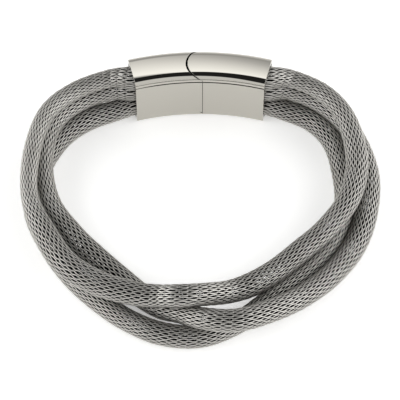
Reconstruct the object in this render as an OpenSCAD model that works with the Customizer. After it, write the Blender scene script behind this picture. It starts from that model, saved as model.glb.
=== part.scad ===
// Mesh bracelet: three knitted steel tubes, crossing each other, on one curved clasp.
// It lies on its side. X is its width, Y runs from the front to the clasp, Z is up.
// The origin is in the middle of the loop, on the surface that it lies on.

/* [Loop] */
// Width of the loop along the middle of the strands
loop_w = 69; // [66:0.5:76]
// Depth of the loop along the middle of the strands
loop_d = 58.6; // [56:0.2:66]

/* [Strands] */
// Diameter of a strand where nothing squeezes it
strand_d = 4.8; // [4.4:0.1:5]
// Thickness of the knitted wall, two crossing wires and their bulge
knit_t = 0.8; // [0.5:0.05:1.2]
// Width of a strand in the clasp, across the clasp's thickness
end_w = 4.6; // [4:0.1:4.6]
// Height of a strand in the clasp
end_h = 4.35; // [3.8:0.05:4.4]
// How far the strands in the clasp lean out or in from its middle line
end_shift = 0.4; // [0:0.05:0.4]

/* [Clasp] */
// Length of the clasp along its middle line
clasp_len = 30; // [27:0.5:31]
// Height of the clasp
clasp_h = 15.8; // [15.6:0.1:17]
// Thickness of the clasp from its outer to its inner face
clasp_t = 7.5; // [7.3:0.1:9]
// Bend radius of the clasp's middle line
clasp_r = 58; // [50:1:70]
// Radius of the clasp's four long edges
edge_r = 1.55; // [0.8:0.05:1.8]
// Wall of the clasp round the strands
clasp_wall = 0.9; // [0.7:0.05:0.95]
// Depth of the socket at each end of the clasp
socket_len = 6; // [4:0.5:7]
// How far the clasp's middle line sits inside the loop line
clasp_in = 0.45; // [0:0.05:0.6]
// Radius of the round nose of the right half, which the left half holds
nose_r = 3.7; // [3.2:0.1:3.9]
// Gap between the two halves of the clasp
seam_gap = 0.12; // [0.08:0.01:0.2]

/* [Catch pin] */
// Diameter of the hidden pin that joins the halves
pin_d = 3; // [2:0.1:3.4]
// Length of the pin
pin_len = 9; // [7:0.5:10]
// Gap between the pin and its holes
pin_gap = 0.1; // [0.08:0.01:0.2]

/* [Hidden] */
$fn = 64;

// Gap between the end of a strand and the floor of its socket
end_gap = 0.2;
// Gap between one strand and the next in the clasp
strand_gap = 0.2;
// Exponent of a strand's outline: 2 is an ellipse, more is nearer a rectangle
round_form = 2;
end_form = 3.2;
// Sides of a strand's outline, and rings to each stretch between two stations
strand_sides = 12;
ring_steps = 3;
// Segments of a full turn at the clasp's radius
clasp_fn = 360;
// How far cutting shapes run past what they cut
over = 1;

// Places of the clasp
half_angle = clasp_len / 2 / clasp_r * 180 / PI;
clasp_y = loop_d / 2 - clasp_in;
bend_y = clasp_y - clasp_r;
socket_angle = socket_len / clasp_r * 180 / PI;
gap_angle = end_gap / clasp_r * 180 / PI;
// Height from one strand to the next in the clasp
level_step = end_h + strand_gap;
// Middle of the nose, a little right of the clasp's middle
nose_x = 0.8;
// The pin crosses the seam at the tip of the nose and reaches as far into either half.
// It is straight, so it sits a little inside the clasp's curved middle line.
pin_drop = 0.45;
pin_x = nose_x - nose_r;
pin_y = clasp_y - pin_drop;

// Routes of the strands from the left end of the clasp to its right end.
// Columns: angle round the loop from the clasp, going left;
// way out from the loop line, in strand diameters;
// height of the strand's underside, in strand diameters;
// width of the strand, in strand diameters.
route_top = [
    [36, 0.70, 2.02, 0.80], [48, 1.08, 1.90, 0.78], [60, 1.14, 1.86, 0.78],
    [75, 0.70, 1.72, 0.77], [90, 0.38, 1.27, 0.78], [105, -0.03, 1.07, 1.04],
    [120, -0.10, 1.07, 1.14], [135, -0.44, 1.05, 1.08], [150, -0.75, 1.08, 1.04],
    [160, -0.90, 1.18, 1.00], [170, -0.92, 1.51, 0.98], [182, -1.13, 1.32, 0.98],
    [196, -1.45, 0.74, 1.00], [210, -1.64, 0.57, 1.06], [225, -1.79, 0.65, 1.02],
    [240, -1.78, 0.75, 1.02], [255, -1.33, 0.90, 1.00], [270, -0.55, 1.05, 1.00],
    [285, 0.21, 1.10, 1.00], [300, 0.80, 1.53, 0.90], [312, 0.96, 1.81, 0.82],
    [324, 0.72, 1.97, 0.80]];
route_middle = [
    [36, 0.66, 1.03, 0.88], [48, 0.98, 0.93, 0.90], [60, 0.92, 0.96, 0.90],
    [75, 0.20, 0.92, 0.86], [90, -0.52, 0.60, 0.92], [105, -1.26, 0.25, 1.08],
    [120, -1.61, 0.02, 1.16], [135, -1.57, 0.01, 1.12], [150, -1.24, 0.03, 1.06],
    [161, -0.94, 0.05, 0.98], [171, -0.64, 0.48, 0.92], [182, -0.15, 0.93, 0.96],
    [195, 0.14, 1.05, 1.00], [210, -0.03, 0.76, 1.00], [225, -0.15, 0.40, 1.00],
    [240, -0.12, 0.20, 1.02], [255, 0.04, 0.03, 1.04], [270, 0.30, 0.01, 1.04],
    [285, 0.77, 0.07, 0.98], [300, 1.00, 0.54, 0.94], [312, 0.94, 0.88, 0.90],
    [324, 0.66, 1.05, 0.86]];
route_bottom = [
    [36, 0.10, 0.05, 0.98], [48, 0.41, 0.01, 1.04], [60, 0.54, 0.00, 0.99],
    [75, 0.42, 0.00, 0.88], [90, 0.30, 0.00, 0.88], [105, -0.12, 0.00, 0.92],
    [120, -0.25, 0.00, 0.96], [135, -0.18, 0.00, 1.00], [150, 0.06, 0.00, 0.98],
    [165, 0.28, 0.00, 1.02], [180, 0.24, 0.00, 0.98], [195, -0.22, 0.00, 0.94],
    [210, -0.79, 0.00, 0.94], [225, -1.11, 0.00, 0.90], [240, -1.12, 0.00, 0.88],
    [255, -0.96, 0.00, 0.90], [270, -0.71, 0.00, 0.93], [285, -0.39, 0.00, 0.94],
    [300, 0.17, 0.00, 0.98], [312, 0.36, 0.00, 1.03], [324, 0.14, 0.05, 1.00]];

// Radius of the loop line at an angle from the clasp, an ellipse
function loop_r(a) =
    1 / sqrt(pow(sin(a) / (loop_w / 2), 2) + pow(cos(a) / (loop_d / 2), 2));

// A station holds a place and an outline: [x, y, z, width, height, form]
function on_loop(row) =
    let (r = loop_r(row[0]) + row[1] * strand_d,
         w = row[3] * strand_d)
    [-r * sin(row[0]), r * cos(row[0]), row[2] * strand_d + w / 2, w, w, round_form];

function in_clasp(side, a, level, shift) =
    let (r = clasp_r + shift)
    [side * r * sin(a), bend_y + r * cos(a),
     clasp_h / 2 + level * level_step, end_w, end_h, end_form];

// The stations in one socket, from its floor to its mouth
function socket_stations(side, level, shift) =
    [for (a = [half_angle - socket_angle + gap_angle,
               half_angle - socket_angle / 2,
               half_angle])
        in_clasp(side, a, level, shift)];

function reversed(list) = [for (i = [len(list) - 1 : -1 : 0]) list[i]];

function stations(route, level, shift) = concat(
    socket_stations(-1, level, shift),
    [for (row = route) on_loop(row)],
    reversed(socket_stations(1, level, shift)));

// A smooth curve through the stations, and on past its two ends by reflection
function station_at(s, i) =
    i < 0 ? 2 * s[0] - s[1] :
    i >= len(s) ? 2 * s[len(s) - 1] - s[len(s) - 2] : s[i];

function between(a, b, c, d, t) =
    (2 * b + (c - a) * t + (2 * a - 5 * b + 4 * c - d) * pow(t, 2)
     + (3 * b - a - 3 * c + d) * pow(t, 3)) / 2;

function smooth(s) = concat(
    [for (i = [0 : len(s) - 2]) for (k = [0 : ring_steps - 1])
        between(station_at(s, i - 1), s[i], s[i + 1], station_at(s, i + 2),
                k / ring_steps)],
    [s[len(s) - 1]]);

function place(p) = [p[0], p[1], p[2]];
function unit(v) = v / norm(v);

// One side's coordinate of the outline, from the sine or cosine of its angle
function outline(c, form) = sign(c) * pow(abs(c), 2 / form);

// The ring of points round one place on the curve, drawn in by `inset`
function ring(p, i, inset) =
    let (ahead = place(p[min(i + 1, len(p) - 1)]),
         behind = place(p[max(i - 1, 0)]),
         along = unit(ahead - behind),
         across = unit(cross(along, [0, 0, 1])),
         up = cross(across, along),
         half_w = p[i][3] / 2 - inset,
         half_h = p[i][4] / 2 - inset)
    [for (k = [0 : strand_sides - 1])
        let (a = (k + 0.5) * 360 / strand_sides)
        place(p[i]) + across * half_w * outline(cos(a), p[i][5])
                    + up * half_h * outline(sin(a), p[i][5])];

// The two triangles of each quad between two rings, facing out or in
function band(first, second, facing_out) =
    [for (k = [0 : strand_sides - 1])
        let (n = (k + 1) % strand_sides)
        for (f = [[first + k, second + n, second + k],
                  [first + k, first + n, second + n]])
            facing_out ? f : [f[2], f[1], f[0]]];

function joined(lists) = [for (list = lists) for (item = list) item];

// A hollow tube through the stations, its two walls joined at the ends
module strand(route, level, shift) {
    curve = smooth(stations(route, level, shift));
    last = len(curve) - 1;
    inner = len(curve) * strand_sides;
    points = concat(
        joined([for (i = [0 : last]) ring(curve, i, 0)]),
        joined([for (i = [0 : last]) ring(curve, i, knit_t)]));
    faces = concat(
        joined([for (i = [0 : last - 1])
            band(i * strand_sides, (i + 1) * strand_sides, true)]),
        joined([for (i = [0 : last - 1])
            band(inner + i * strand_sides, inner + (i + 1) * strand_sides, false)]),
        band(inner, 0, true),
        band(last * strand_sides, inner + last * strand_sides, true));
    polyhedron(points = points, faces = faces);
}

module strand_top() {
    color("#8f8d89") strand(route_top, 1, end_shift);
}

module strand_middle() {
    color("#85837f") strand(route_middle, 0, end_shift);
}

module strand_bottom() {
    color("#7b7975") strand(route_bottom, -1, -end_shift);
}

// One quarter of a square corner that lies outside its rounding
module corner_waste(x, y, turn) {
    translate([x, y]) rotate(turn) difference() {
        translate([-edge_r, -edge_r]) square(edge_r + over);
        translate([-edge_r, -edge_r]) circle(r = edge_r);
    }
}

// Section of the clasp: distance from the bend's middle, and height
module clasp_section() {
    inner = clasp_r - clasp_t / 2;
    outer = clasp_r + clasp_t / 2;
    difference() {
        translate([inner, 0]) square([clasp_t, clasp_h]);
        corner_waste(outer, clasp_h, 0);
        corner_waste(inner, clasp_h, 90);
        corner_waste(inner, 0, 180);
        corner_waste(outer, 0, 270);
    }
}

// Sweeps a section round the clasp's bend between two angles from its middle
module round_bend(from, to) {
    translate([0, bend_y, 0]) rotate(90 - to)
        rotate_extrude(angle = to - from, $fn = clasp_fn) children();
}

module socket(side) {
    mouth = half_angle + over;
    floor_angle = half_angle - socket_angle;
    round_bend(side > 0 ? floor_angle : -mouth, side > 0 ? mouth : -floor_angle)
        translate([clasp_r - clasp_t / 2 + clasp_wall, clasp_wall])
            square([clasp_t - 2 * clasp_wall, clasp_h - 2 * clasp_wall]);
}

// Plan of what belongs to the right half: a round nose, and all that lies right of its middle
module right_plan(grow) {
    translate([nose_x, clasp_y]) {
        circle(r = nose_r + grow);
        translate([-grow, -clasp_t]) square([clasp_len, 2 * clasp_t]);
    }
}

module right_side(grow) {
    translate([0, 0, -over]) linear_extrude(clasp_h + 2 * over) right_plan(grow);
}

// The pin, or with a gap the hole that it sits in
module pin_shape(gap) {
    translate([pin_x - pin_len / 2 - gap, pin_y, clasp_h / 2])
        rotate([0, 90, 0]) cylinder(d = pin_d + 2 * gap, h = pin_len + 2 * gap);
}

module clasp_left() {
    color("#c9c7c1") difference() {
        round_bend(-half_angle, half_angle) clasp_section();
        socket(-1);
        right_side(seam_gap);
        pin_shape(pin_gap);
    }
}

module clasp_right() {
    color("#c4c2bc") difference() {
        intersection() {
            round_bend(-half_angle, half_angle) clasp_section();
            right_side(0);
        }
        socket(1);
        pin_shape(pin_gap);
    }
}

module catch_pin() {
    color("#a9a7a2") pin_shape(0);
}

clasp_left();
clasp_right();
catch_pin();
strand_top();
strand_middle();
strand_bottom();
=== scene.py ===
"""Mesh bracelet: three knitted steel tubes on a polished clasp, and a plain studio round them."""

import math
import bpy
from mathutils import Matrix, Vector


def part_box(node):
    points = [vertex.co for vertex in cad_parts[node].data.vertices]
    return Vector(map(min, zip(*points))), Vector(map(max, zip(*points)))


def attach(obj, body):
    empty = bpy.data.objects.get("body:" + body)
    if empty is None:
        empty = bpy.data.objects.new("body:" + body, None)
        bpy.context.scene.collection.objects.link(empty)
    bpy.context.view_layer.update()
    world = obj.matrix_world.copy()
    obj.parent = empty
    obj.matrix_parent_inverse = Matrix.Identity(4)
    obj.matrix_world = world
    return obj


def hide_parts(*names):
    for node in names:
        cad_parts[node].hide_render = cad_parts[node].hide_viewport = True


bl_info = {
    "name": "Mesh Bracelet",
    "version": (1, 0, 0),
    "blender": (4, 5, 0),
    "location": "3D View > Sidebar > Bracelet",
    "description": "Knitted steel tubes, a polished clasp and a plain studio",
    "category": "Object",
}

import bpy
from mathutils import Vector

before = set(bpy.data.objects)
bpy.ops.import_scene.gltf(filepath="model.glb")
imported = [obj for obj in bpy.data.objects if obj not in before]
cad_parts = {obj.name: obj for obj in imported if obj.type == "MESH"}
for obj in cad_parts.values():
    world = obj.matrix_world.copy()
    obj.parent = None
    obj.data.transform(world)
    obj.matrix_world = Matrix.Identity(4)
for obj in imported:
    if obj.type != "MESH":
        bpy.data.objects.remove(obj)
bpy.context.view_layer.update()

MM = 0.001

# Sizes of the solids, in millimetres
LOOP_W = 69.0
LOOP_D = 58.6
STRAND_D = 4.8
END_W = 4.6
END_H = 4.35
END_SHIFT = 0.4
STRAND_GAP = 0.2
END_GAP = 0.2
ROUND_FORM = 2.0
END_FORM = 3.2
CLASP_LEN = 30.0
CLASP_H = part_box("clasp_right")[1].z / MM
CLASP_T = 7.5
CLASP_R = 58.0
SOCKET_LEN = 6.0
CLASP_IN = 0.45
NOSE_X = 0.8
CLASP_Y = LOOP_D / 2 - CLASP_IN
BEND_Y = CLASP_Y - CLASP_R
HALF_ANGLE = CLASP_LEN / 2 / CLASP_R
SOCKET_ANGLE = SOCKET_LEN / CLASP_R

# Routes of the strands from the left end of the clasp to its right end.
# Columns: angle round the loop from the clasp, going left;
# way out from the loop line, in strand diameters;
# height of the strand's underside, in strand diameters;
# width of the strand, in strand diameters.
ROUTES = {
    "strand_top": [
        [36, 0.70, 2.02, 0.80], [48, 1.08, 1.90, 0.78], [60, 1.14, 1.86, 0.78],
        [75, 0.70, 1.72, 0.77], [90, 0.38, 1.27, 0.78], [105, -0.03, 1.07, 1.04],
        [120, -0.10, 1.07, 1.14], [135, -0.44, 1.05, 1.08], [150, -0.75, 1.08, 1.04],
        [160, -0.90, 1.18, 1.00], [170, -0.92, 1.51, 0.98], [182, -1.13, 1.32, 0.98],
        [196, -1.45, 0.74, 1.00], [210, -1.64, 0.57, 1.06], [225, -1.79, 0.65, 1.02],
        [240, -1.78, 0.75, 1.02], [255, -1.33, 0.90, 1.00], [270, -0.55, 1.05, 1.00],
        [285, 0.21, 1.10, 1.00], [300, 0.80, 1.53, 0.90], [312, 0.96, 1.81, 0.82],
        [324, 0.72, 1.97, 0.80]],
    "strand_middle": [
        [36, 0.66, 1.03, 0.88], [48, 0.98, 0.93, 0.90], [60, 0.92, 0.96, 0.90],
        [75, 0.20, 0.92, 0.86], [90, -0.52, 0.60, 0.92], [105, -1.26, 0.25, 1.08],
        [120, -1.61, 0.02, 1.16], [135, -1.57, 0.01, 1.12], [150, -1.24, 0.03, 1.06],
        [161, -0.94, 0.05, 0.98], [171, -0.64, 0.48, 0.92], [182, -0.15, 0.93, 0.96],
        [195, 0.14, 1.05, 1.00], [210, -0.03, 0.76, 1.00], [225, -0.15, 0.40, 1.00],
        [240, -0.12, 0.20, 1.02], [255, 0.04, 0.03, 1.04], [270, 0.30, 0.01, 1.04],
        [285, 0.77, 0.07, 0.98], [300, 1.00, 0.54, 0.94], [312, 0.94, 0.88, 0.90],
        [324, 0.66, 1.05, 0.86]],
    "strand_bottom": [
        [36, 0.10, 0.05, 0.98], [48, 0.41, 0.01, 1.04], [60, 0.54, 0.00, 0.99],
        [75, 0.42, 0.00, 0.88], [90, 0.30, 0.00, 0.88], [105, -0.12, 0.00, 0.92],
        [120, -0.25, 0.00, 0.96], [135, -0.18, 0.00, 1.00], [150, 0.06, 0.00, 0.98],
        [165, 0.28, 0.00, 1.02], [180, 0.24, 0.00, 0.98], [195, -0.22, 0.00, 0.94],
        [210, -0.79, 0.00, 0.94], [225, -1.11, 0.00, 0.90], [240, -1.12, 0.00, 0.88],
        [255, -0.96, 0.00, 0.90], [270, -0.71, 0.00, 0.93], [285, -0.39, 0.00, 0.94],
        [300, 0.17, 0.00, 0.98], [312, 0.36, 0.00, 1.03], [324, 0.14, 0.05, 1.00]],
}
# Place of each strand in the clasp: its level, and how far out it leans
LEVELS = {
    "strand_top": (1, END_SHIFT),
    "strand_middle": (0, END_SHIFT),
    "strand_bottom": (-1, -END_SHIFT),
}
# Samples of the path between two stations of a route
PATH_STEPS = 12
# Points along a stitch and flat sides of the wire, few enough for the many stitches of a strand
STITCH_POINTS = 12
WIRE_SIDES = 5
# Extra radius of the tube, in mm, for what the wire's flat sides and straight steps take off
OUTLINE_SPARE = 0.05


def linear(code):
    """The linear colour of an sRGB hex code such as #c8c5bd, with alpha."""
    shares = [int(code[i:i + 2], 16) / 255 for i in (1, 3, 5)]
    return [s / 12.92 if s <= 0.04045 else ((s + 0.055) / 1.055) ** 2.4 for s in shares] + [1.0]


def feed(tree, node, inputs):
    """Fills a node's inputs. Each takes a value, a socket, or a node for its first output."""
    for key, value in inputs.items():
        if isinstance(value, bpy.types.Node):
            value = value.outputs[0]
        if isinstance(value, bpy.types.NodeSocket):
            tree.links.new(value, node.inputs[key])
        else:
            node.inputs[key].default_value = value


def add(tree, kind, inputs=None, **settings):
    """Adds a node with its settings, values and links."""
    node = tree.nodes.new(kind)
    for name, value in settings.items():
        setattr(node, name, value)
    feed(tree, node, inputs or {})
    return node


def calc(tree, operation, *values):
    """Adds a node that works on numbers, which come in this order."""
    return add(tree, "ShaderNodeMath", dict(enumerate(values)), operation=operation)


def calc_vector(tree, operation, first, second=None):
    """Adds a node that works on vectors. To scale one, the second value is the number."""
    inputs = {0: first}
    if second is not None:
        inputs["Scale" if operation == "SCALE" else 1] = second
    return add(tree, "ShaderNodeVectorMath", inputs, operation=operation)


def grey(value):
    """A colour without hue, with alpha."""
    return (value, value, value, 1)


class KnitSettings(bpy.types.PropertyGroup):
    """Sizes and colours of the knitted tubes."""

    # The real wire is about 0.3 mm thick. It is drawn a little coarser, to show from arm's length.
    wire_d: bpy.props.FloatProperty(
        name="Wire", description="Diameter of the knitted wire", default=0.35 * MM,
        min=0.1 * MM, max=0.5 * MM, precision=6, unit="LENGTH")
    course: bpy.props.FloatProperty(
        name="Course", description="Length of one row of stitches along the tube", default=1.92 * MM,
        min=1.0 * MM, max=4.0 * MM, precision=5, unit="LENGTH")
    wales: bpy.props.IntProperty(
        name="Stitches round", description="Stitches round the tube", default=16, min=8, max=24)
    rise: bpy.props.FloatProperty(
        name="Loop height", description="Height of a stitch, as a share of a row", default=1.3,
        min=1.1, max=2.0, subtype="FACTOR")
    swing: bpy.props.FloatProperty(
        name="Loop swing", description="How far a stitch's legs sway, as a share of a stitch's width",
        default=0.195, min=0.0, max=0.4, subtype="FACTOR")
    bulge: bpy.props.FloatProperty(
        name="Loop bulge", description="How far a stitch's legs bow apart, as a share of its width",
        default=0.1, min=0.0, max=0.2, subtype="FACTOR")
    relief: bpy.props.FloatProperty(
        name="Relief", description="How far the stitches' heads lie below their legs, halved",
        default=0.06 * MM, min=0.0, max=0.4 * MM, precision=6, unit="LENGTH")
    light: bpy.props.FloatVectorProperty(
        name="Bright wire", description="Colour of the wire where it is clean", size=3, min=0, max=1,
        default=linear("#edebe6")[:3], subtype="COLOR")
    dull: bpy.props.FloatVectorProperty(
        name="Dull wire", description="Colour of the wire where it is dull", size=3, min=0, max=1,
        default=linear("#c8c5be")[:3], subtype="COLOR")
    # Painted shade: a near-black colour for the wire where it faces into the tube or lies deep, standing in
    # for the shade there
    inner_shade: bpy.props.FloatVectorProperty(
        name="Painted shade", description="Colour painted on the wire as shade inside the tube and between stitches",
        size=3, min=0, max=1, default=linear("#0c0b0b")[:3], subtype="COLOR")


class ClaspSettings(bpy.types.PropertyGroup):
    """Sizes and colours of the clasp."""

    edge_r: bpy.props.FloatProperty(
        name="Edge radius", description="Radius of the four long edges", default=1.55 * MM,
        min=0.8 * MM, max=1.8 * MM, precision=5, unit="LENGTH")
    wall: bpy.props.FloatProperty(
        name="Wall", description="Wall round the strands", default=0.9 * MM,
        min=0.7 * MM, max=0.95 * MM, precision=5, unit="LENGTH")
    nose_r: bpy.props.FloatProperty(
        name="Nose radius", description="Radius of the right half's round nose", default=3.7 * MM,
        min=3.2 * MM, max=3.9 * MM, precision=5, unit="LENGTH")
    seam_gap: bpy.props.FloatProperty(
        name="Seam gap", description="Gap between the two halves", default=0.42 * MM,
        min=0.08 * MM, max=0.5 * MM, precision=6, unit="LENGTH")
    soft_edge: bpy.props.FloatProperty(
        name="Polished edge", description="Rounding of the seam and of the mouths", default=0.04 * MM,
        min=0.02 * MM, max=0.3 * MM, precision=6, unit="LENGTH")
    crown: bpy.props.FloatProperty(
        name="Crown", description="How far polishing leaves the middle of the faces proud",
        default=0.03 * MM, min=0.0, max=0.1 * MM, precision=6, unit="LENGTH")
    line: bpy.props.FloatProperty(
        name="Fine line", description="Depth of the fine line along the inner face",
        default=0.17 * MM, min=0.0, max=0.3 * MM, precision=6, unit="LENGTH")
    steel: bpy.props.FloatVectorProperty(
        name="Steel", description="Colour of the polished steel", size=3, min=0, max=1,
        default=linear("#b9b6ae")[:3], subtype="COLOR")
    haze: bpy.props.FloatProperty(
        name="Haze", description="Roughness of the mirror finish", default=0.012, min=0, max=1, subtype="FACTOR")


class StudioSettings(bpy.types.PropertyGroup):
    """Camera, floor and light."""

    elevation: bpy.props.FloatProperty(
        name="Camera elevation", description="Angle of the camera above the floor",
        default=math.radians(60), min=0, max=math.pi / 2, subtype="ANGLE")
    distance: bpy.props.FloatProperty(
        name="Camera distance", description="Way from the camera to the point that it looks at",
        default=480 * MM, min=0.1, max=5, unit="LENGTH")
    look_y: bpy.props.FloatProperty(
        name="Look at", description="Place on the floor that the camera looks at, along the loop's depth",
        default=3.75 * MM, precision=5, unit="LENGTH")
    lens: bpy.props.FloatProperty(
        name="Lens", description="Focal length in millimetres", default=198.7, min=20, max=400,
        subtype="DISTANCE_CAMERA")
    floor: bpy.props.FloatVectorProperty(
        name="Floor", description="Colour of the floor", size=3, min=0, max=1,
        default=linear("#f4f4f3")[:3], subtype="COLOR")
    glow: bpy.props.FloatProperty(
        name="Floor glow", description="Strength of the light that comes up through the floor",
        default=0.35, min=0, max=10)
    strength: bpy.props.FloatProperty(
        name="Light", description="Strength of the studio's light", default=2.1, min=0, max=10)


def station_on_loop(row):
    """Place and outline of a strand on the loop: x, y, z, width, height and form."""
    angle, out, lift, share = row
    turn = math.radians(angle)
    loop = 1 / math.hypot(math.sin(turn) / (LOOP_W / 2), math.cos(turn) / (LOOP_D / 2))
    r = loop + out * STRAND_D
    width = share * STRAND_D
    return [-r * math.sin(turn), r * math.cos(turn), lift * STRAND_D + width / 2,
            width, width, ROUND_FORM]


def station_in_clasp(side, angle, level, shift):
    """Place and outline of a strand in the clasp."""
    r = CLASP_R + shift
    height = CLASP_H / 2 + level * (END_H + STRAND_GAP)
    return [side * r * math.sin(angle), BEND_Y + r * math.cos(angle), height,
            END_W, END_H, END_FORM]


def strand_stations(name):
    """All stations of a strand, from the floor of the left socket to that of the right one."""
    level, shift = LEVELS[name]
    angles = [HALF_ANGLE - SOCKET_ANGLE + END_GAP / CLASP_R,
              HALF_ANGLE - SOCKET_ANGLE / 2,
              HALF_ANGLE]
    left = [station_in_clasp(-1, a, level, shift) for a in angles]
    right = [station_in_clasp(1, a, level, shift) for a in reversed(angles)]
    return left + [station_on_loop(row) for row in ROUTES[name]] + right


def smooth(stations):
    """A smooth curve through the stations, which runs on past its two ends by reflection."""
    first = [2 * a - b for a, b in zip(stations[0], stations[1])]
    last = [2 * a - b for a, b in zip(stations[-1], stations[-2])]
    held = [first, *stations, last]
    curve = []
    for i in range(1, len(held) - 2):
        for k in range(PATH_STEPS):
            t = k / PATH_STEPS
            curve.append([
                (2 * b + (c - a) * t + (2 * a - 5 * b + 4 * c - d) * t ** 2
                 + (3 * b - a - 3 * c + d) * t ** 3) / 2
                for a, b, c, d in zip(*held[i - 1:i + 3])])
    return curve + [stations[-1]]


def new_mesh_object(name, points, edges=(), faces=()):
    """A mesh object at the origin, linked to the scene. Points are in metres."""
    mesh = bpy.data.meshes.new(name)
    mesh.from_pydata(points, edges, faces)
    piece = bpy.data.objects.new(name, mesh)
    bpy.context.scene.collection.objects.link(piece)
    return piece


def path_object(name):
    """The strand's middle line as a chain of edges, and its length in metres.

    The outline is kept as an attribute of the points: half the width, half the height, and the form.
    """
    curve = smooth(strand_stations(name))
    points = [Vector(p[:3]) * MM for p in curve]
    host = new_mesh_object(name + "_path", points, [(i, i + 1) for i in range(len(points) - 1)])
    outline = host.data.attributes.new("outline", "FLOAT_VECTOR", "POINT")
    for item, p in zip(outline.data, curve):
        item.vector = ((p[3] / 2 + OUTLINE_SPARE) * MM, (p[4] / 2 + OUTLINE_SPARE) * MM, p[5])
    length = sum((b - a).length for a, b in zip(points, points[1:]))
    return host, length


def knit_tree():
    """One wire, knitted round and round along the path that comes in, as a tube of stitches."""
    tree = bpy.data.node_groups.new("Knitted tube", "GeometryNodeTree")
    face = tree.interface
    face.new_socket("Path", in_out="INPUT", socket_type="NodeSocketGeometry")
    for name in ("Wire radius", "Loop rise", "Loop swing", "Loop bulge", "Relief"):
        face.new_socket(name, in_out="INPUT", socket_type="NodeSocketFloat")
    for name in ("Stitches round", "Courses", "Points in a stitch", "Wire sides"):
        face.new_socket(name, in_out="INPUT", socket_type="NodeSocketInt")
    face.new_socket("Wire material", in_out="INPUT", socket_type="NodeSocketMaterial")
    face.new_socket("Tube", in_out="OUTPUT", socket_type="NodeSocketGeometry")
    given = add(tree, "NodeGroupInput").outputs

    path = add(tree, "GeometryNodeMeshToCurve", {"Mesh": given["Path"]})
    length = add(tree, "GeometryNodeCurveLength", {"Curve": path})
    stitches = calc(tree, "MULTIPLY", given["Stitches round"], given["Courses"])
    steps = calc(tree, "MULTIPLY", stitches, given["Points in a stitch"])
    count = calc(tree, "ADD", steps, 1.0)
    points = add(tree, "GeometryNodePoints", {"Count": count})
    wire = add(tree, "GeometryNodePointsToCurves", {"Points": points})

    # The stitch that a point is in, counted along the wire, and its turn in the stitch
    index = add(tree, "GeometryNodeInputIndex")
    stitch = calc(tree, "DIVIDE", index, given["Points in a stitch"])
    turn = calc(tree, "MULTIPLY", stitch, math.tau)
    turn_twice = calc(tree, "MULTIPLY", turn, 2.0)
    turn_thrice = calc(tree, "MULTIPLY", turn, 3.0)
    wave = calc(tree, "COSINE", turn)
    sway = calc(tree, "SINE", turn_twice)
    depth = calc(tree, "COSINE", turn_twice)
    bow = calc(tree, "SINE", turn_thrice)

    # Way round the tube
    bowed = calc(tree, "MULTIPLY", bow, given["Loop bulge"])
    straight = calc(tree, "SUBTRACT", stitch, bowed)
    across = calc(tree, "MULTIPLY_ADD", sway, given["Loop swing"], straight)
    share = calc(tree, "DIVIDE", across, given["Stitches round"])
    angle = calc(tree, "MULTIPLY", share, math.tau)
    cosine = calc(tree, "COSINE", angle)
    sine = calc(tree, "SINE", angle)

    # Way along the tube: the rows rise evenly, and the stitch swings up and down round its row
    ends = calc(tree, "MULTIPLY_ADD", given["Loop rise"], -2.0, length)
    even = calc(tree, "DIVIDE", index, steps)
    row = calc(tree, "MULTIPLY_ADD", even, ends, given["Loop rise"])
    along = calc(tree, "MULTIPLY_ADD", wave, given["Loop rise"], row)
    factor = calc(tree, "DIVIDE", along, length)

    outline = add(tree, "GeometryNodeInputNamedAttribute", {"Name": "outline"}, data_type="FLOAT_VECTOR")
    sample = add(tree, "GeometryNodeSampleCurve",
                 {"Curves": path, "Value": outline, "Factor": factor},
                 data_type="FLOAT_VECTOR", mode="FACTOR")
    half = add(tree, "ShaderNodeSeparateXYZ", {0: sample.outputs["Value"]})

    # The legs lie at the outline, and the heads below them by twice the relief
    sunk = calc(tree, "ADD", depth, 1.0)
    inwards = calc(tree, "MULTIPLY_ADD", sunk, given["Relief"], given["Wire radius"])
    # The outline is round at a form of 2 and squarer above it
    form = half.outputs[2]
    powers = [calc(tree, "POWER", calc(tree, "ABSOLUTE", part), form) for part in (cosine, sine)]
    both = calc(tree, "ADD", *powers)
    reach = calc(tree, "POWER", both, calc(tree, "DIVIDE", -1.0, form))
    offsets = []
    for part, size in ((cosine, half.outputs[0]), (sine, half.outputs[1])):
        radius = calc(tree, "SUBTRACT", size, inwards)
        bent = calc(tree, "MULTIPLY", radius, reach)
        offsets.append(calc(tree, "MULTIPLY", bent, part))

    tangent = sample.outputs["Tangent"]
    side = calc_vector(tree, "NORMALIZE", calc_vector(tree, "CROSS_PRODUCT", tangent, (0, 0, 1)))
    up = calc_vector(tree, "CROSS_PRODUCT", side, tangent)
    aside = calc_vector(tree, "SCALE", side, offsets[0])
    above = calc_vector(tree, "SCALE", up, offsets[1])
    offset = calc_vector(tree, "ADD", aside, above)
    place = calc_vector(tree, "ADD", sample.outputs["Position"], offset)
    shaped = add(tree, "GeometryNodeSetPosition", {"Geometry": wire, "Position": place})

    # The way out of the tube is kept at each point. It shrinks where the wire lies deep, so the sunk stitch
    # heads get painted shade.
    way_out = calc_vector(tree, "NORMALIZE", offset)
    deep_shade = 0.25
    shown = calc(tree, "MULTIPLY_ADD", sunk, -deep_shade, 1.0)
    faded = calc_vector(tree, "SCALE", way_out, shown)
    marked = add(tree, "GeometryNodeStoreNamedAttribute",
                 {"Geometry": shaped, "Name": "way_out", "Value": faded},
                 data_type="FLOAT_VECTOR", domain="POINT")
    turned = add(tree, "GeometryNodeSetCurveNormal", {"Curve": marked, "Normal": way_out}, mode="FREE")

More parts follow.
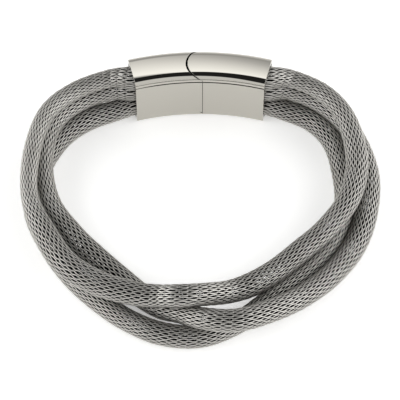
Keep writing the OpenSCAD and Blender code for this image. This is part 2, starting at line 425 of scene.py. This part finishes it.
    # The underside is pressed flat, so its wire spreads and lets no light through
    height = add(tree, "ShaderNodeSeparateXYZ", {0: way_out}).outputs["Z"]
    pressed, free, spread = -0.45, 0.25, 1.5
    dense = add(tree, "ShaderNodeMapRange",
                {"Value": height, "From Min": pressed, "From Max": free, "To Min": spread, "To Max": 1.0})
    outline_of_wire = add(tree, "GeometryNodeCurvePrimitiveCircle",
                          {"Resolution": given["Wire sides"], "Radius": given["Wire radius"]})
    tube = add(tree, "GeometryNodeCurveToMesh",
               {"Curve": turned, "Profile Curve": outline_of_wire, "Scale": dense, "Fill Caps": True})

    # Painted shade and smoothness: where the wire faces out of the tube it keeps its own tone and is
    # smoother; where it lies deep it is painted darker, and inside the tube, where shade falls, it is
    # painted near black and is rougher
    normal = add(tree, "GeometryNodeInputNormal")
    kept = add(tree, "GeometryNodeInputNamedAttribute", {"Name": "way_out"}, data_type="FLOAT_VECTOR")
    reached = calc_vector(tree, "DOT_PRODUCT", normal, kept).outputs["Value"]
    shaded_below, lit_above = 0.25, 0.85
    polish_and_shade = add(tree, "ShaderNodeMapRange",
                 {"Value": reached, "From Min": shaded_below, "From Max": lit_above},
                 interpolation_type="SMOOTHSTEP")
    polished = add(tree, "GeometryNodeStoreNamedAttribute",
                   {"Geometry": tube, "Name": "polish_and_shade", "Value": polish_and_shade},
                   data_type="FLOAT", domain="POINT")
    cleared = add(tree, "GeometryNodeRemoveAttribute", {"Geometry": polished, "Name": "way_out"})
    soft = add(tree, "GeometryNodeSetShadeSmooth", {0: cleared})
    whole = add(tree, "GeometryNodeRealizeInstances", {"Geometry": soft})
    dressed = add(tree, "GeometryNodeSetMaterial", {"Geometry": whole, "Material": given["Wire material"]})
    add(tree, "NodeGroupOutput", {"Tube": dressed})
    return tree


def with_tree(host, tree, values):
    """Runs a geometry tree on the host with these named inputs, and leaves the result as its plain mesh."""
    modifier = host.modifiers.new(tree.name, "NODES")
    modifier.node_group = tree
    named = {item.name: item.identifier for item in tree.interface.items_tree
             if item.item_type == "SOCKET" and item.in_out == "INPUT"}
    for name, value in values.items():
        modifier[named[name]] = value
    host.update_tag()
    graph = bpy.context.evaluated_depsgraph_get()
    made = bpy.data.meshes.new_from_object(host.evaluated_get(graph))
    host.modifiers.remove(modifier)
    old = host.data
    host.data = made
    bpy.data.meshes.remove(old)
    return host


def new_material(name):
    """A material with an empty tree, and its surface shader."""
    material = bpy.data.materials.new(name)
    material.use_nodes = True
    tree = material.node_tree
    tree.nodes.clear()
    shader = add(tree, "ShaderNodeBsdfPrincipled")
    add(tree, "ShaderNodeOutputMaterial", {"Surface": shader})
    return material, tree, shader


def drawn_wire(settings):
    """Stainless steel wire as it is drawn and knitted.

    To the eye: a satin grey that glints along the back of each stitch. Shade is painted into the colour: the
    wire turns near black where it faces into the tube or lies deep in the gaps. Duller patches, some
    stitches wide, keep the mesh from looking even.
    """
    material, tree, shader = new_material("drawn_stainless_wire")
    place = add(tree, "ShaderNodeTexCoord").outputs["Object"]
    patch_mm = 6.0
    raw_roughness, worn_roughness = 0.5, 0.33
    patches = add(tree, "ShaderNodeTexNoise",
                  {"Vector": place, "Scale": 1 / (patch_mm * MM), "Detail": 3.0, "Roughness": 0.6})
    tone = add(tree, "ShaderNodeMix",
               {0: patches, 6: (*settings.dull, 1), 7: (*settings.light, 1)}, data_type="RGBA")
    polish_and_shade = add(tree, "ShaderNodeAttribute", attribute_name="polish_and_shade").outputs["Fac"]
    # Painted shade: the colour turns from the wire's tone to the near-black shade colour where the wire
    # faces into the tube or lies deep
    whole = add(tree, "ShaderNodeMix",
                {0: polish_and_shade, 6: (*settings.inner_shade, 1), 7: tone.outputs[2]}, data_type="RGBA")
    satin = add(tree, "ShaderNodeMapRange",
                {"Value": polish_and_shade, "To Min": raw_roughness, "To Max": worn_roughness})
    feed(tree, shader, {"Base Color": whole.outputs[2], "Roughness": satin, "Metallic": 1.0})
    return material


def mirror_steel(settings):
    """Stainless steel, buffed to a mirror.

    To the eye: a clear, slightly warm picture of the studio with crisp dark lines along the edges, under
    a faint haze that comes and goes. The faces inside the seam are painted near black, as painted shade in
    the gap between the halves.
    """
    material, tree, shader = new_material("mirror_polished_stainless_steel")
    seam_shade = add(tree, "ShaderNodeAttribute", attribute_name="seam_shade").outputs["Fac"]
    # Painted shade: the seam's faces get a near-black colour that stands in for the shade in the gap between
    # the halves
    tone = add(tree, "ShaderNodeMix",
               {0: seam_shade, 6: (*settings.steel, 1), 7: linear("#1c1b1a")}, data_type="RGBA")
    place = add(tree, "ShaderNodeTexCoord").outputs["Object"]
    haze_mm = 4.0
    noise_low, noise_high = 0.3, 0.7
    share_low, share_high = 0.7, 1.3
    haze = add(tree, "ShaderNodeTexNoise", {"Vector": place, "Scale": 1 / (haze_mm * MM), "Detail": 4.0})
    rough = add(tree, "ShaderNodeMapRange",
                {"Value": haze, "From Min": noise_low, "From Max": noise_high,
                 "To Min": settings.haze * share_low, "To Max": settings.haze * share_high})
    feed(tree, shader, {"Base Color": tone.outputs[2], "Roughness": rough, "Metallic": 1.0})
    return material


def turned_steel():
    """Stainless steel, turned on a lathe.

    To the eye: a satin grey with fine rings round the pin, which the tool's feed leaves.
    """
    material, tree, shader = new_material("turned_stainless_steel")
    place = add(tree, "ShaderNodeTexCoord").outputs["Object"]
    # A ring has a ridge and a groove, which are about as wide as this each
    ridge_mm = 0.1
    ridge_depth_mm = 0.005
    rings = add(tree, "ShaderNodeTexWave", {"Vector": place, "Scale": 1 / (ridge_mm * MM * math.tau)},
                wave_type="BANDS", bands_direction="X")
    bump = add(tree, "ShaderNodeBump", {"Height": rings, "Distance": ridge_depth_mm * MM, "Strength": 0.5})
    feed(tree, shader, {"Base Color": linear("#b4b1ab"), "Metallic": 1.0, "Roughness": 0.3, "Normal": bump})
    return material


def seam_angle(r, nose_r, room):
    """Angle of one side of the seam from the middle of the clasp's bend, at a distance from there, in mm.

    The room is the way from the nose's outline to that side, which shrinks towards the nose's two ends.
    Place and angle hang on each other, so the angle is found in a few rounds.
    """
    rounds = 8
    least_square = 0.06
    full_room_depth = 1.0
    angle = 0.0
    for _ in range(rounds):
        y = BEND_Y + r * math.cos(angle) - CLASP_Y
        depth = math.sqrt(max(nose_r ** 2 - y ** 2, least_square))
        angle = math.asin((NOSE_X - depth + room * min(depth, full_room_depth)) / r)
    return angle


def section(inset, edge_r, crown, line):
    """Half of the clasp's section from its outer to its inner face, over the top: distance and height.

    The line is a fine notch along the inner face, next to its rounded edge. Where it has no depth, its
    points fall together. The guards, next to the rounded edges, keep the flat faces' shading even.
    """
    round_steps = 16
    flat_steps = 26
    guard = 0.05
    guard_step = 0.1
    least_r = 0.05
    line_bottom, line_end = 1.75, 2.35
    radius = max(edge_r - inset, least_r)
    outer = CLASP_R + CLASP_T / 2 - inset
    inner = CLASP_R - CLASP_T / 2 + inset
    top = CLASP_H - inset
    low = top - radius
    middle = CLASP_H / 2
    quarter = (low + middle) / 2
    turns = [math.pi / 2 * k / round_steps for k in range(round_steps + 1)]
    half = [(outer, middle), (outer, quarter), (outer, low - guard - 2 * guard_step),
            (outer, low - guard - guard_step), (outer, low - guard)]
    half += [(outer - radius * (1 - math.cos(t)), low + radius * math.sin(t)) for t in turns]
    start = outer - radius
    end = inner + radius
    flat = [start - guard] + [start + (end - start) * k / flat_steps for k in range(1, flat_steps)]
    flat.append(end + guard)
    half += [(r, top + crown * (1 - (2 * (r - start) / (end - start) - 1) ** 2)) for r in flat]
    half += [(inner + radius * (1 - math.cos(t)), low + radius * math.sin(t)) for t in reversed(turns)]
    half += [(inner, low - guard), (inner + line, low - guard - line * line_bottom),
             (inner, low - guard - line * line_end)]
    return half + [(inner, quarter), (inner, middle)]


def ring_of(half, angle_at):
    """A closed ring of points: over the top of the section and back underneath, where nothing is crowned."""
    around = half + [(r, max(CLASP_H - z, 0.0)) for r, z in reversed(half[1:-1])]
    points = []
    for r, z in around:
        angle = angle_at(r)
        points.append(Vector((r * math.sin(angle), BEND_Y + r * math.cos(angle), z)) * MM)
    return points


def cap_faces(first, count, flip):
    """Closes a ring with upright strips. The first and last hold all points of the two upright faces."""
    half = count // 2
    # Points of a ring from the middle of an upright face to its rounded edge
    upright = 6

    def above(k):
        return first + k

    def below(k):
        return first + (count - k) % count

    outer = [above(k) for k in range(upright, -1, -1)] + [below(k) for k in range(1, upright + 1)]
    inner = [above(k) for k in range(half - upright, half + 1)]
    inner += [below(k) for k in range(half - 1, half - upright - 1, -1)]
    strips = [[above(k), below(k), below(k + 1), above(k + 1)] for k in range(upright, half - upright)]
    faces = [outer, *strips, inner]
    return [list(reversed(face)) for face in faces] if flip else faces


def clasp_half(name, side, settings, material):
    """One half of the clasp: seam end, outside, mouth and socket, as one closed skin."""
    edge_r = settings.edge_r / MM
    wall = settings.wall / MM
    soft = settings.soft_edge / MM
    crown = settings.crown / MM
    line = settings.line / MM
    nose_r = settings.nose_r / MM
    room = side * settings.seam_gap / 2 / MM
    corner_steps = 3
    long_steps = 14
    socket_steps = 3
    sharp = math.radians(40)
    # The long faces keep this far from the seam and the mouth, as a share of the polished edge
    clear = 1.5
    corner = [math.pi / 2 * k / corner_steps for k in range(corner_steps + 1)]
    rings = []

    def at_seam(offset):
        return lambda r: seam_angle(r, nose_r, room) + side * offset / r

    def at_mouth(offset):
        return lambda r: side * (HALF_ANGLE - offset / r)

    def round_edge(turns, at, inset, way, crown, line):
        """Rings round a polished edge, between this inset and one that is larger or smaller."""
        for t in turns:
            shape = section(inset + way * soft * (1 - math.cos(t)), edge_r, crown, line)
            rings.append(ring_of(shape, at(soft * (1 - math.sin(t)))))

    round_edge(reversed(corner), at_seam, 0.0, 1, crown, line)
    outside = section(0.0, edge_r, crown, line)
    start, end = at_seam(soft * clear), at_mouth(soft * clear)
    for k in range(long_steps + 1):
        share = k / long_steps
        rings.append(ring_of(outside, lambda r: start(r) + (end(r) - start(r)) * share))
    round_edge(corner, at_mouth, 0.0, 1, crown, line)
    round_edge(reversed(corner), at_mouth, wall, -1, 0.0, 0.0)
    inside = section(wall, edge_r, 0.0, 0.0)
    for k in range(1, socket_steps + 1):
        rings.append(ring_of(inside, at_mouth(soft + (SOCKET_LEN - soft) * k / socket_steps)))

    count = len(rings[0])
    points = [p for ring in rings for p in ring]
    faces = []
    for j in range(len(rings) - 1):
        for k in range(count):
            n = (k + 1) % count
            quad = [j * count + k, j * count + n, (j + 1) * count + n, (j + 1) * count + k]
            faces.append(quad if side > 0 else quad[::-1])
    skin = len(faces)
    faces += cap_faces(0, count, side < 0)
    capped = len(faces) - skin
    faces += cap_faces((len(rings) - 1) * count, count, side > 0)
    piece = new_mesh_object(name, points, faces=faces)
    piece.data.polygons.foreach_set("use_smooth", [True] * len(piece.data.polygons))
    piece.data.set_sharp_from_angle(angle=sharp)
    # The seam's end caps are marked for painted shade, which the material paints near black
    seam_shade = piece.data.attributes.new("seam_shade", "FLOAT", "FACE")
    seam_shade.data.foreach_set("value", [0.0] * skin + [1.0] * capped + [0.0] * (len(faces) - skin - capped))
    piece.data.materials.append(material)
    return piece


class BRACELET_OT_strands(bpy.types.Operator):
    """Knit the three tubes along their routes"""

    bl_idname = "bracelet.strands"
    bl_label = "Knit the strands"

    def execute(self, context):
        settings = context.scene.bracelet_knit
        tree = knit_tree()
        material = drawn_wire(settings)
        for name in ROUTES:
            host, length = path_object(name)
            piece = with_tree(host, tree, {
                "Wire radius": settings.wire_d / 2,
                "Loop rise": settings.course * settings.rise / 2,
                "Loop swing": settings.swing,
                "Loop bulge": settings.bulge,
                "Relief": settings.relief,
                "Stitches round": settings.wales,
                "Courses": round(length / settings.course),
                "Points in a stitch": STITCH_POINTS,
                "Wire sides": WIRE_SIDES,
                "Wire material": material,
            })
            piece.name = name.replace("strand", "knit")
            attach(piece, "root")
            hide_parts(name)
        return {"FINISHED"}


class BRACELET_OT_clasp(bpy.types.Operator):
    """Make the two polished halves of the clasp"""

    bl_idname = "bracelet.clasp"
    bl_label = "Make the clasp"

    def execute(self, context):
        settings = context.scene.bracelet_clasp
        material = mirror_steel(settings)
        for node, side in (("clasp_left", -1), ("clasp_right", 1)):
            piece = clasp_half("polished_" + node, side, settings, material)
            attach(piece, "root")
            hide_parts(node)
        return {"FINISHED"}


class BRACELET_OT_pin(bpy.types.Operator):
    """Give the hidden catch pin its finish"""

    bl_idname = "bracelet.pin"
    bl_label = "Finish the catch pin"

    def execute(self, context):
        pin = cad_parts["catch_pin"]
        pin.data.materials.clear()
        pin.data.materials.append(turned_steel())
        return {"FINISHED"}


class BRACELET_OT_studio(bpy.types.Operator):
    """Set the camera, the plain floor and the soft light"""

    bl_idname = "bracelet.studio"
    bl_label = "Set the studio"

    def execute(self, context):
        settings = context.scene.bracelet_studio
        scene = context.scene
        scene.view_settings.view_transform = "Standard"

        look = Vector((0, settings.look_y, 0))
        back = Vector((0, -math.cos(settings.elevation), math.sin(settings.elevation)))
        camera = bpy.data.objects.new("camera", bpy.data.cameras.new("camera"))
        camera.data.lens = settings.lens
        camera.location = look + back * settings.distance
        camera.rotation_euler = (-back).to_track_quat("-Z", "Y").to_euler()
        scene.collection.objects.link(camera)
        scene.camera = camera

        reach = 3.0
        corners = [(-reach, -reach, 0), (reach, -reach, 0), (reach, reach, 0), (-reach, reach, 0)]
        floor = new_mesh_object("floor", corners, faces=[(0, 1, 2, 3)])
        # To the eye: a plain white sheet lit from below, with soft shadows only where pieces come close
        material, tree, shader = new_material("backlit_opal_acrylic")
        feed(tree, shader, {
            "Base Color": (*settings.floor, 1),
            "Roughness": 0.9,
            "Emission Color": grey(1),
            "Emission Strength": settings.glow,
        })
        floor.data.materials.append(material)

        self.light(scene, settings)
        return {"FINISHED"}

    def light(self, scene, settings):
        """A white tent with a dark slot overhead, which draws the dark lines on polished edges."""
        world = bpy.data.worlds.new("studio")
        scene.world = world
        world.use_nodes = True
        tree = world.node_tree
        tree.nodes.clear()
        way = add(tree, "ShaderNodeSeparateXYZ", {0: add(tree, "ShaderNodeTexCoord").outputs["Generated"]})
        front = calc(tree, "MULTIPLY", way.outputs["Y"], -1.0)
        angle = calc(tree, "ARCTAN2", way.outputs["Z"], front)
        share = calc(tree, "DIVIDE", angle, math.pi)
        # The slot is a wedge, which widens to one side
        wedge_reach, wedge_slope = 0.25, 1.2
        aside = add(tree, "ShaderNodeClamp",
                    {"Value": way.outputs["X"], "Min": -wedge_reach, "Max": wedge_reach})
        widened = calc(tree, "MULTIPLY_ADD", aside, wedge_slope, 1.0)
        middled = calc(tree, "ADD", share, -0.5)
        place = calc(tree, "MULTIPLY_ADD", middled, widened, 0.5)
        ramp = add(tree, "ShaderNodeValToRGB", {"Fac": place})
        # Brightness of the tent from the horizon in front, over the top, to the horizon behind.
        # Columns: place on that way, and brightness. The slot is the dark part.
        stops = [(0.0, 0.5), (0.295, 0.5), (0.315, 0.012), (0.667, 0.012), (0.668, 0.93),
                 (0.704, 0.39), (0.716, 0.28), (0.83, 0.28), (0.9, 0.42), (1.0, 0.45)]
        elements = ramp.color_ramp.elements
        while len(elements) < len(stops):
            elements.new(0.5)
        for element, (spot, value) in zip(elements, stops):
            element.position = spot
            element.color = grey(value)
        # An even wall all round, up to the height where the tent begins
        wall, wall_top, tent_from = 0.48, 0.1, 0.35
        high = add(tree, "ShaderNodeMapRange",
                   {"Value": way.outputs["Z"], "From Min": wall_top, "From Max": tent_from})
        tent = add(tree, "ShaderNodeMix", {"Factor": high, "A": grey(wall), "B": ramp}, data_type="RGBA")
        # A bright softbox at either side
        box_from, box_full = 0.4, 0.6
        sideways = calc(tree, "ABSOLUTE", way.outputs["X"])
        beside = add(tree, "ShaderNodeMapRange",
                     {"Value": sideways, "From Min": box_from, "From Max": box_full})
        boxes = add(tree, "ShaderNodeMix",
                    {"Factor": beside, "A": tent.outputs["Result"], "B": grey(1)}, data_type="RGBA")
        sky = add(tree, "ShaderNodeBackground",
                  {"Color": boxes.outputs["Result"], "Strength": settings.strength})
        add(tree, "ShaderNodeOutputWorld", {"Surface": sky})


class BRACELET_PT_panel(bpy.types.Panel):
    """Lists the steps that make the bracelet, and their sizes"""

    bl_idname = "BRACELET_PT_panel"
    bl_label = "Mesh Bracelet"
    bl_space_type = "VIEW_3D"
    bl_region_type = "UI"
    bl_category = "Bracelet"

    def draw(self, context):
        for operator, group in STEPS:
            box = self.layout.box()
            box.operator(operator.bl_idname)
            if group:
                settings = getattr(context.scene, group)
                for name in settings.__annotations__:
                    box.prop(settings, name)


STEPS = (
    (BRACELET_OT_studio, "bracelet_studio"),
    (BRACELET_OT_strands, "bracelet_knit"),
    (BRACELET_OT_clasp, "bracelet_clasp"),
    (BRACELET_OT_pin, None),
)
GROUPS = {
    "bracelet_studio": StudioSettings,
    "bracelet_knit": KnitSettings,
    "bracelet_clasp": ClaspSettings,
}


def register():
    for group in GROUPS.values():
        bpy.utils.register_class(group)
    for name, group in GROUPS.items():
        setattr(bpy.types.Scene, name, bpy.props.PointerProperty(type=group))
    for operator, _ in STEPS:
        bpy.utils.register_class(operator)
    bpy.utils.register_class(BRACELET_PT_panel)


def unregister():
    bpy.utils.unregister_class(BRACELET_PT_panel)
    for operator, _ in STEPS:
        bpy.utils.unregister_class(operator)
    for name, group in GROUPS.items():
        delattr(bpy.types.Scene, name)
        bpy.utils.unregister_class(group)


def main():
    register()
    bpy.ops.bracelet.studio()
    bpy.ops.bracelet.strands()
    bpy.ops.bracelet.clasp()
    bpy.ops.bracelet.pin()


if __name__ == "__main__":
    main()
